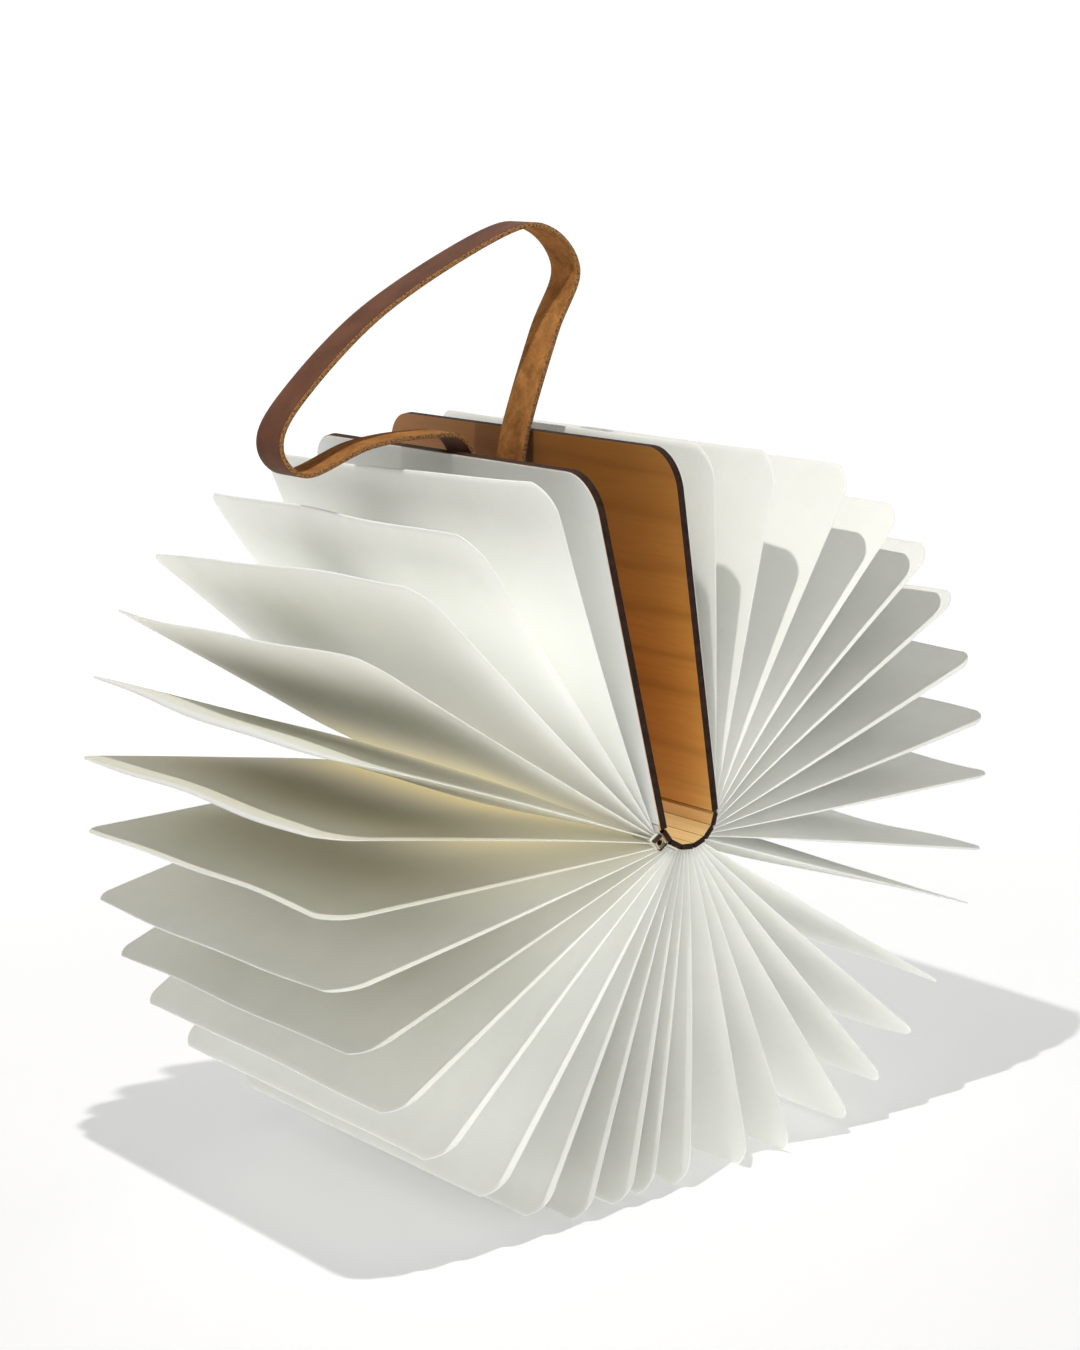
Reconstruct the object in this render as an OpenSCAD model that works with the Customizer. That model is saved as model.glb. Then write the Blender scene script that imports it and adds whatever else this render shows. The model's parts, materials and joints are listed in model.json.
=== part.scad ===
// Folding book lamp, standing fully open on its paper leaves.
// The wooden covers stand back to back, the slatted spine makes a U between them and the
// hollow leaves fan out all the way round. +Z is up, the spine runs along Y, and the origin
// lies on the surface that the lamp stands on, under the middle of the fan.

/* [Covers] */
// Length of the covers and of the spine
cover_len = 220; // [180:2:270]
// Width of a cover, from its hinge line to its fore-edge
cover_w = 154; // [128:1:186]
// Thickness of a wooden cover
cover_t = 3.2; // [2.6:0.2:3.6]
// Radius of the covers' outer corners
cover_corner_r = 17; // [8:1:30]
// Gap between a cover and its hinge line
cover_gap = 0.9; // [0.8:0.1:1.5]

/* [Spine] */
// Distance from one spine hinge line to the next
slat_pitch = 6.8; // [6.6:0.1:8]
// Gap between two slats on the page side
slat_gap = 1.3; // [1.2:0.05:1.6]
// Thickness of a spine slat
slat_t = 2.4; // [1.8:0.1:2.4]
// Thickness of the cloth that the covers and slats are glued to
cloth_t = 0.35; // [0.2:0.05:0.4]
// How far the cloth runs onto each cover
cloth_overlap = 3; // [2:0.5:4]

/* [Leaves] */
// How much narrower than a cover a leaf is, from its crease to its fore-edge
leaf_setback = 3; // [1:0.5:8]
// Distance from a leaf's end to the spine's end
leaf_margin = 4; // [2:0.5:8]
// Thickness of a flattened leaf
leaf_t = 0.42; // [0.3:0.02:0.46]
// Radius of the leaves' outer corners
leaf_corner_r = 15; // [6:1:28]
// Height of the outermost leaves' creases above the hinge lines, with the book shut
crease_side = 9; // [8:0.5:12]
// Height of the middle leaves' creases above the hinge lines, with the book shut
crease_mid = 0.5; // [0:0.5:2]
// Clear distance between a leaf and its crease, and between a root and its crease
crease_gap = 0.3; // [0.2:0.05:0.5]
// Thickness of a leaf's glued root
root_t = 0.4; // [0.3:0.02:0.4]

/* [Pose] */
// Tilt of the standing lamp about the spine
lean = 4.8; // [0:0.2:8]
// Angle between the two covers when fully open
splay = 5.4; // [2:0.2:10]
// How much higher the spine stands than a leaf is wide, with the lowest leaves bowed by the weight
stand_extra = 9; // [4:1:12]
// Fall of the side leaves under their own weight, in degrees
leaf_fall = 7.5; // [0:0.5:9]
// Crowding of the leaves toward the bottom, in degrees
leaf_crowd = 1.5; // [0:0.1:2.5]
// Shift of the crowding toward one side, in degrees
leaf_skew = 1.7; // [0:0.1:2.5]

/* [Electric parts] */
// Length of the charging socket's housing along the spine
port_len = 16; // [14:1:24]
// Thickness of the housing's side plates and of its back
port_wall = 1; // [0.6:0.1:1.2]
// Thickness of the housing's floor and roof
port_floor = 0.5; // [0.3:0.1:0.6]
// Radius of the charging socket's hole
socket_r = 1.25; // [1:0.05:1.4]
// Depth of the charging socket's hole
socket_depth = 9; // [6:0.5:10]
// Wall of the socket beside its hole
socket_side = 0.5; // [0.3:0.1:0.6]
// Wall of the socket over and under its hole
socket_roof = 0.4; // [0.3:0.05:0.5]
// How far the socket sits back from the housing's mouth
socket_inset = 1; // [0.5:0.5:2]
// Width of the battery
battery_w = 3.8; // [2:0.1:4]
// Height of the battery
battery_h = 8; // [4:0.5:8.5]
// Length of the battery
battery_len = 140; // [60:5:160]
// Width of an LED board
led_board_w = 1.2; // [0.8:0.1:1.3]
// Thickness of an LED board
led_board_t = 0.4; // [0.2:0.05:0.5]
// Size of a square LED
led_size = 1; // [0.6:0.1:1.1]
// Height of an LED above its board
led_h = 0.5; // [0.3:0.1:0.5]
// Number of LEDs on a board
led_count = 12; // [6:1:18]

/* [Strap] */
// Width of the leather strap
strap_w = 20; // [14:1:26]
// Thickness of the leather strap
strap_t = 2; // [1.6:0.1:2.4]
// Radius of a magnet peg
peg_r = 7; // [5:0.5:9]
// Height of a magnet peg, from the wood to the strap
peg_h = 8; // [7:0.5:9]
// Distance of the pegs from the covers' fore-edges
peg_inset = 29; // [26:1:36]
// Radius of the magnet set into each cover
magnet_r = 6; // [4:0.5:7]
// Thickness of the magnet set into each cover
magnet_t = 1.5; // [1:0.1:1.6]

/* [Hidden] */
LEAVES = 34;
SLATS = 6;
// Leaves creased on the left cover, on each slat in turn and on the right cover
LEAVES_ON = [2, 4, 5, 6, 6, 5, 4, 2];
// Slats that carry an LED board
LED_SLATS = [2, 5];
BATTERY_SLAT = 3;
PORT_SLAT = 1;

// Turn from one slat to the next
turn = 180 / (SLATS + 1);

leaf_w = cover_w - leaf_setback;
leaf_len = cover_len - 2 * leaf_margin;
stand_h = leaf_w + stand_extra;

// Clearances between pieces, and how far a cutting shape runs past the face that it opens
slack = 0.3;
magnet_fit = 0.1;
cloth_lift = 0.05;
cloth_margin = 1;
port_clearance = 2;
led_clearance = 0.6;
overrun = 1;

// Feet of the leaf roots: their height over the wood, and their row's start and width on a slat
root_lift = cloth_lift + cloth_t + 0.2;
root_start = 0.7;
root_span = slat_pitch - 2 * root_start - led_board_w - led_clearance;

// The end leaves are glued down between the cloth and a narrow rim of bare wood
end_leaf_start = cloth_overlap + 0.5;
end_leaf_end = cover_w - 1;

socket_w = 2 * (socket_r + socket_side);
socket_h = 2 * (socket_r + socket_roof);
port_w = socket_w + 2 * port_wall;
port_depth = socket_h + 2 * port_floor;

// Straight length of the strap past the middle of a peg, and curve steps between route points
strap_tail = 7;
strap_steps = 5;

wood = "peru";
paper = "ivory";
leather = "saddlebrown";

function dir(a) = [cos(a), sin(a)];
function turned(p, a) = [p[0] * cos(a) - p[1] * sin(a), p[0] * sin(a) + p[1] * cos(a)];
function total(list, n) = n == 0 ? 0 : list[n - 1] + total(list, n - 1);

// Slat directions, open and shut, from the left cover (0) to the right cover (7)
function open_angle(k) = lean + turn * (k - (SLATS + 1) / 2);
function shut_angle(k) = turn * ((SLATS + 1) / 2 - k);
shut_w = total([for (k = [1 : SLATS]) slat_pitch * cos(shut_angle(k))], SLATS);

// Hinge lines in the plane across the spine, with the spine's middle at [0, 0]
function open_hinge(k) = k == 0 ? -shut_w / 2 * dir(lean) : open_hinge(k - 1) + slat_pitch * dir(open_angle(k));
function shut_hinge(k) = k == 0 ? [0, 0] : shut_hinge(k - 1) + slat_pitch * dir(shut_angle(k));

// Cover directions when open
left_angle = 90 + lean + splay / 2;
right_angle = 90 + lean - splay / 2;

// The piece that leaf i is creased on, and how far that piece turns from shut to open
function carrier(i, k = 0) = i <= total(LEAVES_ON, k + 1) ? k : carrier(i, k + 1);
function splay_share(k) = k == 0 ? splay / 2 : k > SLATS ? -splay / 2 : 0;
function opening(k) = lean + 2 * turn * (k - (SLATS + 1) / 2) + splay_share(k);

// Crease of leaf i, with the book shut and with it open
function middle_share(i) = 1 - abs(2 * i / (LEAVES + 1) - 1);
function crease_height(i) = crease_side + (crease_mid - crease_side) * middle_share(i);
function shut_crease(i) = [shut_w * i / (LEAVES + 1), -crease_height(i)];
function pivot(k) = min(k, SLATS);
function crease(i) = let (k = carrier(i))
    open_hinge(pivot(k)) + turned(shut_crease(i) - shut_hinge(pivot(k)), opening(k));

// Direction of leaf i: an even fan, and the fall and crowding of hanging paper
function fan_share(i) = 360 * i / (LEAVES + 1);
function hang(a) = leaf_fall * sin(a) + leaf_crowd * (1 - cos(2 * a)) - leaf_skew * sin(2 * a);
function leaf_angle(i) = left_angle + (360 - splay) * i / (LEAVES + 1) + hang(fan_share(i));

// A leaf that presses on the table bows, and its solid spans the shorter straight distance
function drop_to_table(i) = stand_h + crease(i)[1] - leaf_t / 2 * abs(cos(leaf_angle(i)));
function leaf_reach(i) = sin(leaf_angle(i)) >= 0
    ? leaf_w
    : min(leaf_w, drop_to_table(i) / -sin(leaf_angle(i)));
function leaf_tip_x(i) = (crease(i) + leaf_reach(i) * dir(leaf_angle(i)))[0];
tips = [for (i = [1 : LEAVES]) leaf_tip_x(i)];
fan_mid = (min(tips) + max(tips)) / 2;

// Fore-edge corners of the covers on their wood faces, where the strap passes
left_top = open_hinge(0) + cover_w * dir(left_angle) - cover_t * dir(left_angle + 90);
right_top = open_hinge(SLATS) + cover_w * dir(right_angle) + cover_t * dir(right_angle + 90);

// Points on the strap's centre line beside the pegs, at a distance below the fore-edge
strap_off = peg_h + strap_t / 2;
function beside_left(s) = left_top - s * dir(left_angle) + strap_off * dir(left_angle - 90);
function beside_right(s) = right_top - s * dir(right_angle) + strap_off * dir(right_angle + 90);
strap_route = concat(
    [beside_right(peg_inset + strap_tail), beside_right(peg_inset - strap_tail)],
    [for (p = [[-3, 0], [16, 40], [30, 65], [18, 84], [-6, 85]]) right_top + p],
    [for (p = [[-30, 64], [-74, 33], [-86, 15], [-75, 2], [-44, 9], [-14, 9], [3, 4]]) left_top + p],
    [beside_left(peg_inset - strap_tail), beside_left(peg_inset + strap_tail)]);

// Catmull-Rom curve through the route
function bend(a, b, c, d, t) = 0.5 * (2 * b + (c - a) * t + (2 * a - 5 * b + 4 * c - d) * t * t
    + (3 * b - a - 3 * c + d) * t * t * t);
function route_point(n) = strap_route[max(0, min(len(strap_route) - 1, n))];
strap_line = concat(
    [for (n = [0 : len(strap_route) - 2]) for (s = [0 : strap_steps - 1])
        bend(route_point(n - 1), route_point(n), route_point(n + 1), route_point(n + 2), s / strap_steps)],
    [strap_route[len(strap_route) - 1]]);
function line_end(n) = max(0, min(len(strap_line) - 1, n));
function strap_normal(n) = let (d = strap_line[line_end(n + 1)] - strap_line[line_end(n - 1)])
    [-d[1], d[0]] / norm(d);

function two_digits(i) = str(i < 10 ? "0" : "", i);
function leaf_name(i) = str("leaf_", two_digits(i));
function slat_name(k) = str("slat_", k);
function root_name(k) = str("leaf_roots_", k);

// Places a child drawn with its width along X, its length along Y and its thickness along Z:
// p is its edge in the plane across the spine and a the direction of its width
module placed(p, a) {
    translate([p[0] - fan_mid, 0, p[1] + stand_h]) rotate([0, -a, 0]) children();
}

module on_slat(k) {
    placed(open_hinge(k - 1), open_angle(k)) children();
}

// Draws a profile of the plane across the spine and gives it a length along the spine
module across(length) {
    translate([-fan_mid, 0, stand_h]) rotate([90, 0, 0]) linear_extrude(length, center = true) children();
}

module panel_outline(from, to, length, r) {
    translate([from, -length / 2]) square([to - from - r, length]);
    translate([from, r - length / 2]) square([to - from, length - 2 * r]);
    for (s = [-1, 1]) translate([to - r, s * (length / 2 - r)]) circle(r, $fn = 64);
}

// Places a child of a cover, drawn from the page face at z = 0 toward the wood face:
// side is 1 on the right cover and -1 on the left one
module on_side(side) {
    mirror([0, 0, side > 0 ? 0 : 1]) children();
}

module cover(side) {
    on_side(side) difference() {
        linear_extrude(cover_t) panel_outline(cover_gap, cover_w, cover_len, cover_corner_r);
        translate([cover_w - peg_inset, 0, -overrun])
            cylinder(h = magnet_t + magnet_fit + overrun, r = magnet_r + magnet_fit, $fn = 64);
    }
}

module cover_left() {
    color(wood) placed(open_hinge(0), left_angle) cover(-1);
}

module cover_right() {
    color(wood) placed(open_hinge(SLATS), right_angle) cover(1);
}

module cover_magnet(side) {
    on_side(side) translate([cover_w - peg_inset, 0, 0]) cylinder(h = magnet_t, r = magnet_r, $fn = 64);
}

module cover_magnet_left() {
    color("silver") placed(open_hinge(0), left_angle) cover_magnet(-1);
}

module cover_magnet_right() {
    color("silver") placed(open_hinge(SLATS), right_angle) cover_magnet(1);
}

module end_leaf(side) {
    on_side(side) translate([0, 0, -leaf_t]) linear_extrude(leaf_t)
        panel_outline(end_leaf_start, end_leaf_end, leaf_len, leaf_corner_r);
}

module end_leaf_left() {
    color(paper) placed(open_hinge(0), left_angle) end_leaf(-1);
}

module end_leaf_right() {
    color(paper) placed(open_hinge(SLATS), right_angle) end_leaf(1);
}

module slat(k) {
    color(wood) on_slat(k)
        translate([slat_gap / 2, -cover_len / 2, 0]) cube([slat_pitch - slat_gap, cover_len, slat_t]);
}

// Point of the spine's page side at hinge line k, lifted off the wood by h
function cloth_corner(k, h) = open_hinge(k) + h / cos(turn / 2) * dir(lean - 90 + turn * (k - SLATS / 2));
function cloth_side(h) = concat(
    [open_hinge(0) + cloth_overlap * dir(left_angle) + h * dir(left_angle + 90)],
    [for (k = [0 : SLATS]) cloth_corner(k, h)],
    [open_hinge(SLATS) + cloth_overlap * dir(right_angle) + h * dir(right_angle - 90)]);
function backwards(list) = [for (n = [len(list) - 1 : -1 : 0]) list[n]];

module spine_cloth() {
    color("gray") across(cover_len - 2 * cloth_margin)
        polygon(concat(cloth_side(cloth_lift), backwards(cloth_side(cloth_lift + cloth_t))));
}

// A thin bar of the plane across the spine, from p to q
module bar(p, q, t) {
    n = t / 2 * [p[1] - q[1], q[0] - p[0]] / norm(q - p);
    polygon([p - n, q - n, q + n, p + n]);
}

// Foot of leaf i's glued root on its slat: the feet stand close to the hinge on the cover's side
function foot_step(k) = root_span / (LEAVES_ON[k] - 1);
function foot_rank(i, k) = i - 1 - total(LEAVES_ON, k);
function foot_u(i, k) = k <= SLATS / 2
    ? root_start + foot_step(k) * foot_rank(i, k)
    : slat_pitch - root_start - foot_step(k) * (LEAVES_ON[k] - 1 - foot_rank(i, k));
function foot(i, k) = open_hinge(k - 1) + foot_u(i, k) * dir(open_angle(k))
    + root_lift * dir(open_angle(k) - 90);
function root_top(i, k) = let (c = crease(i), f = foot(i, k)) c - crease_gap * (c - f) / norm(c - f);

module root_bars(k, length) {
    across(length) for (rank = [0 : LEAVES_ON[k] - 1]) {
        i = total(LEAVES_ON, k) + rank + 1;
        bar(foot(i, k), root_top(i, k), root_t);
    }
}

module leaf_roots(k) {
    near_end = port_len + port_clearance;
    shortened = k <= PORT_SLAT + 1;
    length = shortened ? cover_len / 2 - near_end + leaf_len / 2 : leaf_len;
    color(paper) difference() {
        translate([0, shortened ? (leaf_len - length) / 2 : 0, 0]) root_bars(k, length);
        if (k == BATTERY_SLAT) battery_space(slack);
    }
}

module battery_space(extra) {
    on_slat(BATTERY_SLAT)
        translate([root_start - extra, -battery_len / 2 - extra, -root_lift - battery_h - extra])
            cube([battery_w + 2 * extra, battery_len + 2 * extra, battery_h + extra + root_lift]);
}

module battery() {
    color("steelblue") on_slat(BATTERY_SLAT)
        translate([root_start, -battery_len / 2, -root_lift - battery_h])
            cube([battery_w, battery_len, battery_h]);
}

// An LED board lies on its slat beside the leaf roots, on the side away from the covers
module led_board(k) {
    u = k <= SLATS / 2 ? slat_pitch - root_start - led_board_w : root_start;
    board_len = leaf_len - 2 * port_len;
    led_pitch = board_len / led_count;
    on_slat(k) translate([u, -board_len / 2, -root_lift - led_board_t]) {
        cube([led_board_w, board_len, led_board_t]);
        for (n = [0 : led_count - 1])
            translate([(led_board_w - led_size) / 2, led_pitch * (n + 0.5) - led_size / 2, -led_h])
                cube([led_size, led_size, led_h + led_board_t / 2]);
    }
}

module led_board_left() {
    color("gold") led_board(LED_SLATS[0]);
}

module led_board_right() {
    color("gold") led_board(LED_SLATS[1]);
}

// The housing hangs under the middle of its slat's page side, flush with the spine's near end
module at_port() {
    on_slat(PORT_SLAT)
        translate([slat_pitch / 2, -cover_len / 2, -root_lift - port_depth / 2]) children();
}

// A block along the spine, centred on the housing and starting at distance y from its mouth
module port_block(w, len, h, y) {
    translate([-w / 2, y, -h / 2]) cube([w, len, h]);
}

module port_housing() {
    color("saddlebrown") at_port() difference() {
        port_block(port_w, port_len, port_depth, 0);
        port_block(socket_w, port_len - port_wall + overrun, socket_h, -overrun);
    }
}

module charging_socket() {
    color("white") at_port() difference() {
        port_block(socket_w, port_len - port_wall - socket_inset, socket_h, socket_inset);
        rotate([-90, 0, 0]) cylinder(h = socket_inset + socket_depth, r = socket_r, $fn = 48);
    }
}

module strap() {
    left = [for (n = [0 : len(strap_line) - 1]) strap_line[n] + strap_t / 2 * strap_normal(n)];
    right = [for (n = [0 : len(strap_line) - 1]) strap_line[n] - strap_t / 2 * strap_normal(n)];
    color(leather) across(strap_w) polygon(concat(left, backwards(right)));
}

// A peg stands on a cover's wood face and carries one end of the strap
module peg(side) {
    on_side(side) translate([cover_w - peg_inset, 0, cover_t + slack])
        cylinder(h = peg_h - slack, r = peg_r, $fn = 64);
}

module strap_pegs() {
    color("dimgray") {
        placed(open_hinge(0), left_angle) peg(-1);
        placed(open_hinge(SLATS), right_angle) peg(1);
    }
}

module leaf(i) {
    color(paper) placed(crease(i), leaf_angle(i)) translate([0, 0, -leaf_t / 2])
        linear_extrude(leaf_t) panel_outline(crease_gap, leaf_reach(i), leaf_len, leaf_corner_r);
}

cover_left();
cover_right();
end_leaf_left();
end_leaf_right();
spine_cloth();
led_board_left();
led_board_right();
port_housing();
charging_socket();
battery();
cover_magnet_left();
cover_magnet_right();
strap();
strap_pegs();
for (k = [1 : SLATS]) slat(k);
for (k = [1 : SLATS]) leaf_roots(k);
for (i = [1 : LEAVES]) leaf(i);
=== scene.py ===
import json
import math
import bpy
from mathutils import Matrix, Vector


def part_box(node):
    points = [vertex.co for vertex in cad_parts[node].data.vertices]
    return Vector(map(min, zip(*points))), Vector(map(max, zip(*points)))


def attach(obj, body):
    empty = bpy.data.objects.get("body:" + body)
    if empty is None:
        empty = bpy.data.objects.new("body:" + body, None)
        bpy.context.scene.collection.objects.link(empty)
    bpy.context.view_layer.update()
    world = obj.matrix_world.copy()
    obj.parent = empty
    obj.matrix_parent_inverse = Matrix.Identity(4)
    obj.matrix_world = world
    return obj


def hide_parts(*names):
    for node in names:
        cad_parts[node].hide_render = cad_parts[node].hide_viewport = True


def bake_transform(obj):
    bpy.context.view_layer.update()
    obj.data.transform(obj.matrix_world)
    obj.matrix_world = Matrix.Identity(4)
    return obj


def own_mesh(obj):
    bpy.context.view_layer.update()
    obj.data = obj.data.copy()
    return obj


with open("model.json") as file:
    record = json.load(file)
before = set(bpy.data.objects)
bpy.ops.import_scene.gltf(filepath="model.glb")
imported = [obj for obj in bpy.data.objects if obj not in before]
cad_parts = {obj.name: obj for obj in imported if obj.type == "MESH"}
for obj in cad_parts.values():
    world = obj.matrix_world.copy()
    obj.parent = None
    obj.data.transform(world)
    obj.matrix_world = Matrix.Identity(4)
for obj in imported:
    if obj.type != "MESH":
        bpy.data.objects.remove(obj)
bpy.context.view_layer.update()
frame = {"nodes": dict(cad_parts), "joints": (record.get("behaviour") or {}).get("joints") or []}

# The folding book lamp's looks: puffed paper leaves, grained wood with burnt edges, a leather
# strap and a warm light between the leaves. Lengths are in metres, in the CAD model's frame,
# unless a comment says millimetres.

MM = 0.001
NODES = frame["nodes"]
JOINTS = {joint["name"]: joint for joint in frame["joints"]}
LEAVES = 34

# The covers and slats in order round the spine, and the hinge lines between them
HINGE_JOINTS = ["cover_left_hinge", "slat_1_hinge", "slat_2_hinge", "fold",
                "slat_5_hinge", "slat_6_hinge", "cover_right_hinge"]
HINGES = [Vector((JOINTS[name]["pos_m"][0], 0, JOINTS[name]["pos_m"][2])) for name in HINGE_JOINTS]

# The covers lean to the left together and spread apart; their angles count from +X toward +Z
LEAN = math.radians(4.8)
SPLAY = math.radians(5.4)
LEFT_COVER = math.pi / 2 + LEAN + SPLAY / 2
RIGHT_COVER = math.pi / 2 + LEAN - SPLAY / 2
# The directions that the covers' wood faces look in, toward each other, and their page sides
LEFT_WOOD, LEFT_PAGES = LEFT_COVER - math.pi / 2, LEFT_COVER + math.pi / 2
RIGHT_WOOD, RIGHT_PAGES = RIGHT_COVER + math.pi / 2, RIGHT_COVER - math.pi / 2

# A cover's width and thickness, in millimetres
COVER_WIDTH = 154
COVER_THICKNESS = 3.2

# The slat that the charging housing hangs under, half the width between the housing's side
# plates, and where its dark near end fades out along the spine
PORT_PLATE = 1
PORT_INNER_HALF = 1.75 * MM
PORT_FADE = (-108.4 * MM, -107.6 * MM)


def in_plane(angle):
    """Unit vector in the plane across the spine, counted from +X toward +Z."""
    return Vector((math.cos(angle), 0, math.sin(angle)))


def plate_direction(k):
    """Direction of slat k's width, from the left cover's side to the right cover's."""
    return (HINGES[k] - HINGES[k - 1]).normalized()


# ---------------------------------------------------------------- camera

CAMERA_PLACE = (-0.7823, -1.1993, 0.5315)
CAMERA_YAW = math.radians(-33.258)
CAMERA_PITCH = math.radians(12.781)
CAMERA_ROLL = math.radians(-5.0)
# The sensor's height in millimetres, and the focal length and the picture's height in pixels
CAMERA_SENSOR = 36
FOCAL_PIXELS = 3357.5
PICTURE_PIXELS = 1350


def add_camera():
    """The photograph's camera: about 1.5 metres from the lamp, to its near left."""
    yaw, pitch, roll = CAMERA_YAW, CAMERA_PITCH, CAMERA_ROLL
    forward = Vector((-math.sin(yaw) * math.cos(pitch), math.cos(yaw) * math.cos(pitch),
                      -math.sin(pitch)))
    level = Vector((math.cos(yaw), math.sin(yaw), 0))
    upright = level.cross(forward)
    right = math.cos(roll) * level + math.sin(roll) * upright
    up = -math.sin(roll) * level + math.cos(roll) * upright
    data = bpy.data.cameras.new("camera")
    data.sensor_width = CAMERA_SENSOR
    data.lens = CAMERA_SENSOR * FOCAL_PIXELS / PICTURE_PIXELS
    data.clip_start, data.clip_end = 0.05, 60
    camera = bpy.data.objects.new("camera", data)
    bpy.context.scene.collection.objects.link(camera)
    rotation = Matrix((right, up, -forward)).transposed()
    camera.matrix_world = Matrix.Translation(CAMERA_PLACE) @ rotation.to_4x4()
    bpy.context.scene.camera = camera


# ---------------------------------------------------------------- material helpers

class Shader:
    """A small helper that adds nodes to a material and links them."""

    def __init__(self, name, roughness=0.5, specular=0.5):
        self.material = bpy.data.materials.new(name)
        self.material.use_nodes = True
        self.tree = self.material.node_tree
        self.bsdf = self.tree.nodes["Principled BSDF"]
        self.bsdf.inputs["Roughness"].default_value = roughness
        self.bsdf.inputs["Specular IOR Level"].default_value = specular

    def node(self, kind, **inputs):
        made = self.tree.nodes.new("ShaderNode" + kind)
        for name, value in inputs.items():
            self.put(made.inputs[name.replace("_", " ")], value)
        return made

    def put(self, socket, value):
        if isinstance(value, bpy.types.NodeSocket):
            self.tree.links.new(value, socket)
        else:
            socket.default_value = value

    def place(self, scale=(1, 1, 1), offset=(0, 0, 0)):
        """The object's own coordinates, in metres, scaled and then moved."""
        mapping = self.node("Mapping", Vector=self.node("TexCoord").outputs["Object"])
        mapping.inputs["Scale"].default_value = scale
        mapping.inputs["Location"].default_value = offset
        return mapping.outputs["Vector"]

    def noise(self, vector, scale, detail=3, roughness=0.5, distortion=0):
        made = self.node("TexNoise", Vector=vector, Scale=scale, Detail=detail, Roughness=roughness)
        made.inputs["Distortion"].default_value = distortion
        return made.outputs["Fac"]

    def attribute(self, name):
        made = self.node("Attribute")
        made.attribute_name = name
        return made.outputs["Fac"]

    def math(self, operation, a, b=0.0, c=0.0, clamp=False):
        made = self.node("Math")
        made.operation = operation
        made.use_clamp = clamp
        self.put(made.inputs[0], a)
        self.put(made.inputs[1], b)
        self.put(made.inputs[2], c)
        return made.outputs[0]

    def remap(self, value, low, high, to_low=0.0, to_high=1.0):
        made = self.node("MapRange", Value=value)
        made.inputs["From Min"].default_value = low
        made.inputs["From Max"].default_value = high
        made.inputs["To Min"].default_value = to_low
        made.inputs["To Max"].default_value = to_high
        made.clamp = True
        return made.outputs["Result"]

    def ramp(self, value, *stops):
        made = self.node("ValToRGB", Fac=value)
        ramp = made.color_ramp
        while len(ramp.elements) < len(stops):
            ramp.elements.new(0.5)
        for element, (position, color) in zip(ramp.elements, stops):
            element.position = position
            element.color = (*color, 1)
        return made.outputs["Color"]

    def mix(self, factor, a, b, kind="MIX"):
        made = self.node("Mix")
        made.data_type = "RGBA"
        made.blend_type = kind
        self.put(made.inputs[0], factor)
        self.put(made.inputs[6], a if isinstance(a, bpy.types.NodeSocket) else (*a, 1))
        self.put(made.inputs[7], b if isinstance(b, bpy.types.NodeSocket) else (*b, 1))
        return made.outputs[2]

    def color(self, value):
        if not isinstance(value, bpy.types.NodeSocket):
            value = (*value, 1)
        self.put(self.bsdf.inputs["Base Color"], value)

    def bump(self, height, distance, strength=1.0):
        made = self.node("Bump", Height=height, Distance=distance, Strength=strength)
        previous = self.bsdf.inputs["Normal"]
        if previous.is_linked:
            self.tree.links.new(previous.links[0].from_socket, made.inputs["Normal"])
        self.put(self.bsdf.inputs["Normal"], made.outputs["Normal"])

    def dot(self, vector, direction):
        made = self.node("VectorMath")
        made.operation = "DOT_PRODUCT"
        self.put(made.inputs[0], vector)
        made.inputs[1].default_value = direction
        return made.outputs["Value"]

    def facing(self, direction):
        """1 where the surface looks along the direction or straight against it, 0 where it
        looks across it."""
        return self.math("ABSOLUTE", self.dot(self.node("TexCoord").outputs["Normal"], direction))


# ---------------------------------------------------------------- materials

BURNT = ((0.3, (0.013, 0.006, 0.004)), (0.8, (0.046, 0.022, 0.012)))
BEIGE = ((0.3, (0.50, 0.42, 0.28)), (0.8, (0.66, 0.58, 0.42)))
WARM_GLOW = 0.25


def paper_material():
    """Tear-proof paper: off-white and faintly clouded. Point attributes say how much painted warm
    glow a place has ("warm"), how far painted warm shade darkens its paper to a brownish grey
    ("warm_shade"), how much more painted glow it has, as if lit from behind, with a painted shadow
    of the strap, near the spine and as an even fill ("lit"), and where the paper's edge is
    ("edge")."""
    s = Shader("paper", roughness=0.6, specular=0.25)
    clouds = s.noise(s.place(), 22, detail=4, roughness=0.6)
    fibres = s.noise(s.place(), 420, detail=5, roughness=0.7)
    streaks = s.noise(s.place((220, 30, 220)), 6, detail=4, roughness=0.7, distortion=1.5)
    tone = s.math("ADD", s.math("MULTIPLY", clouds, 0.7), s.math("MULTIPLY", streaks, 0.3))
    base = s.ramp(tone, (0.3, (0.80, 0.805, 0.755)), (0.7, (0.88, 0.885, 0.845)))
    # Painted warm shade darkens the paper to a brownish grey
    warm_shaded = s.mix(s.attribute("warm_shade"), base, (0.60, 0.57, 0.41))
    s.color(s.mix(s.attribute("edge"), warm_shaded, (0.86, 0.865, 0.84)))
    # Painted light: the paper glows, warmly near the spine
    light = s.mix(s.attribute("warm"), (0.94, 0.95, 0.945), (0.95, 0.80, 0.48))
    s.put(s.bsdf.inputs["Emission Color"], light)
    glow = s.math("MULTIPLY", s.attribute("warm"), WARM_GLOW)
    s.put(s.bsdf.inputs["Emission Strength"], s.math("ADD", s.attribute("lit"), glow))
    s.bsdf.inputs["Subsurface Weight"].default_value = 0.3
    s.bsdf.inputs["Subsurface Radius"].default_value = (1.0, 0.9, 0.7)
    s.bsdf.inputs["Subsurface Scale"].default_value = 0.0012
    s.bump(fibres, 0.0003, 0.12)
    s.bump(clouds, 0.003, 0.15)
    return s.material


def blend_tuples(a, b, share):
    return tuple(p + (q - p) * share for p, q in zip(a, b))


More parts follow.
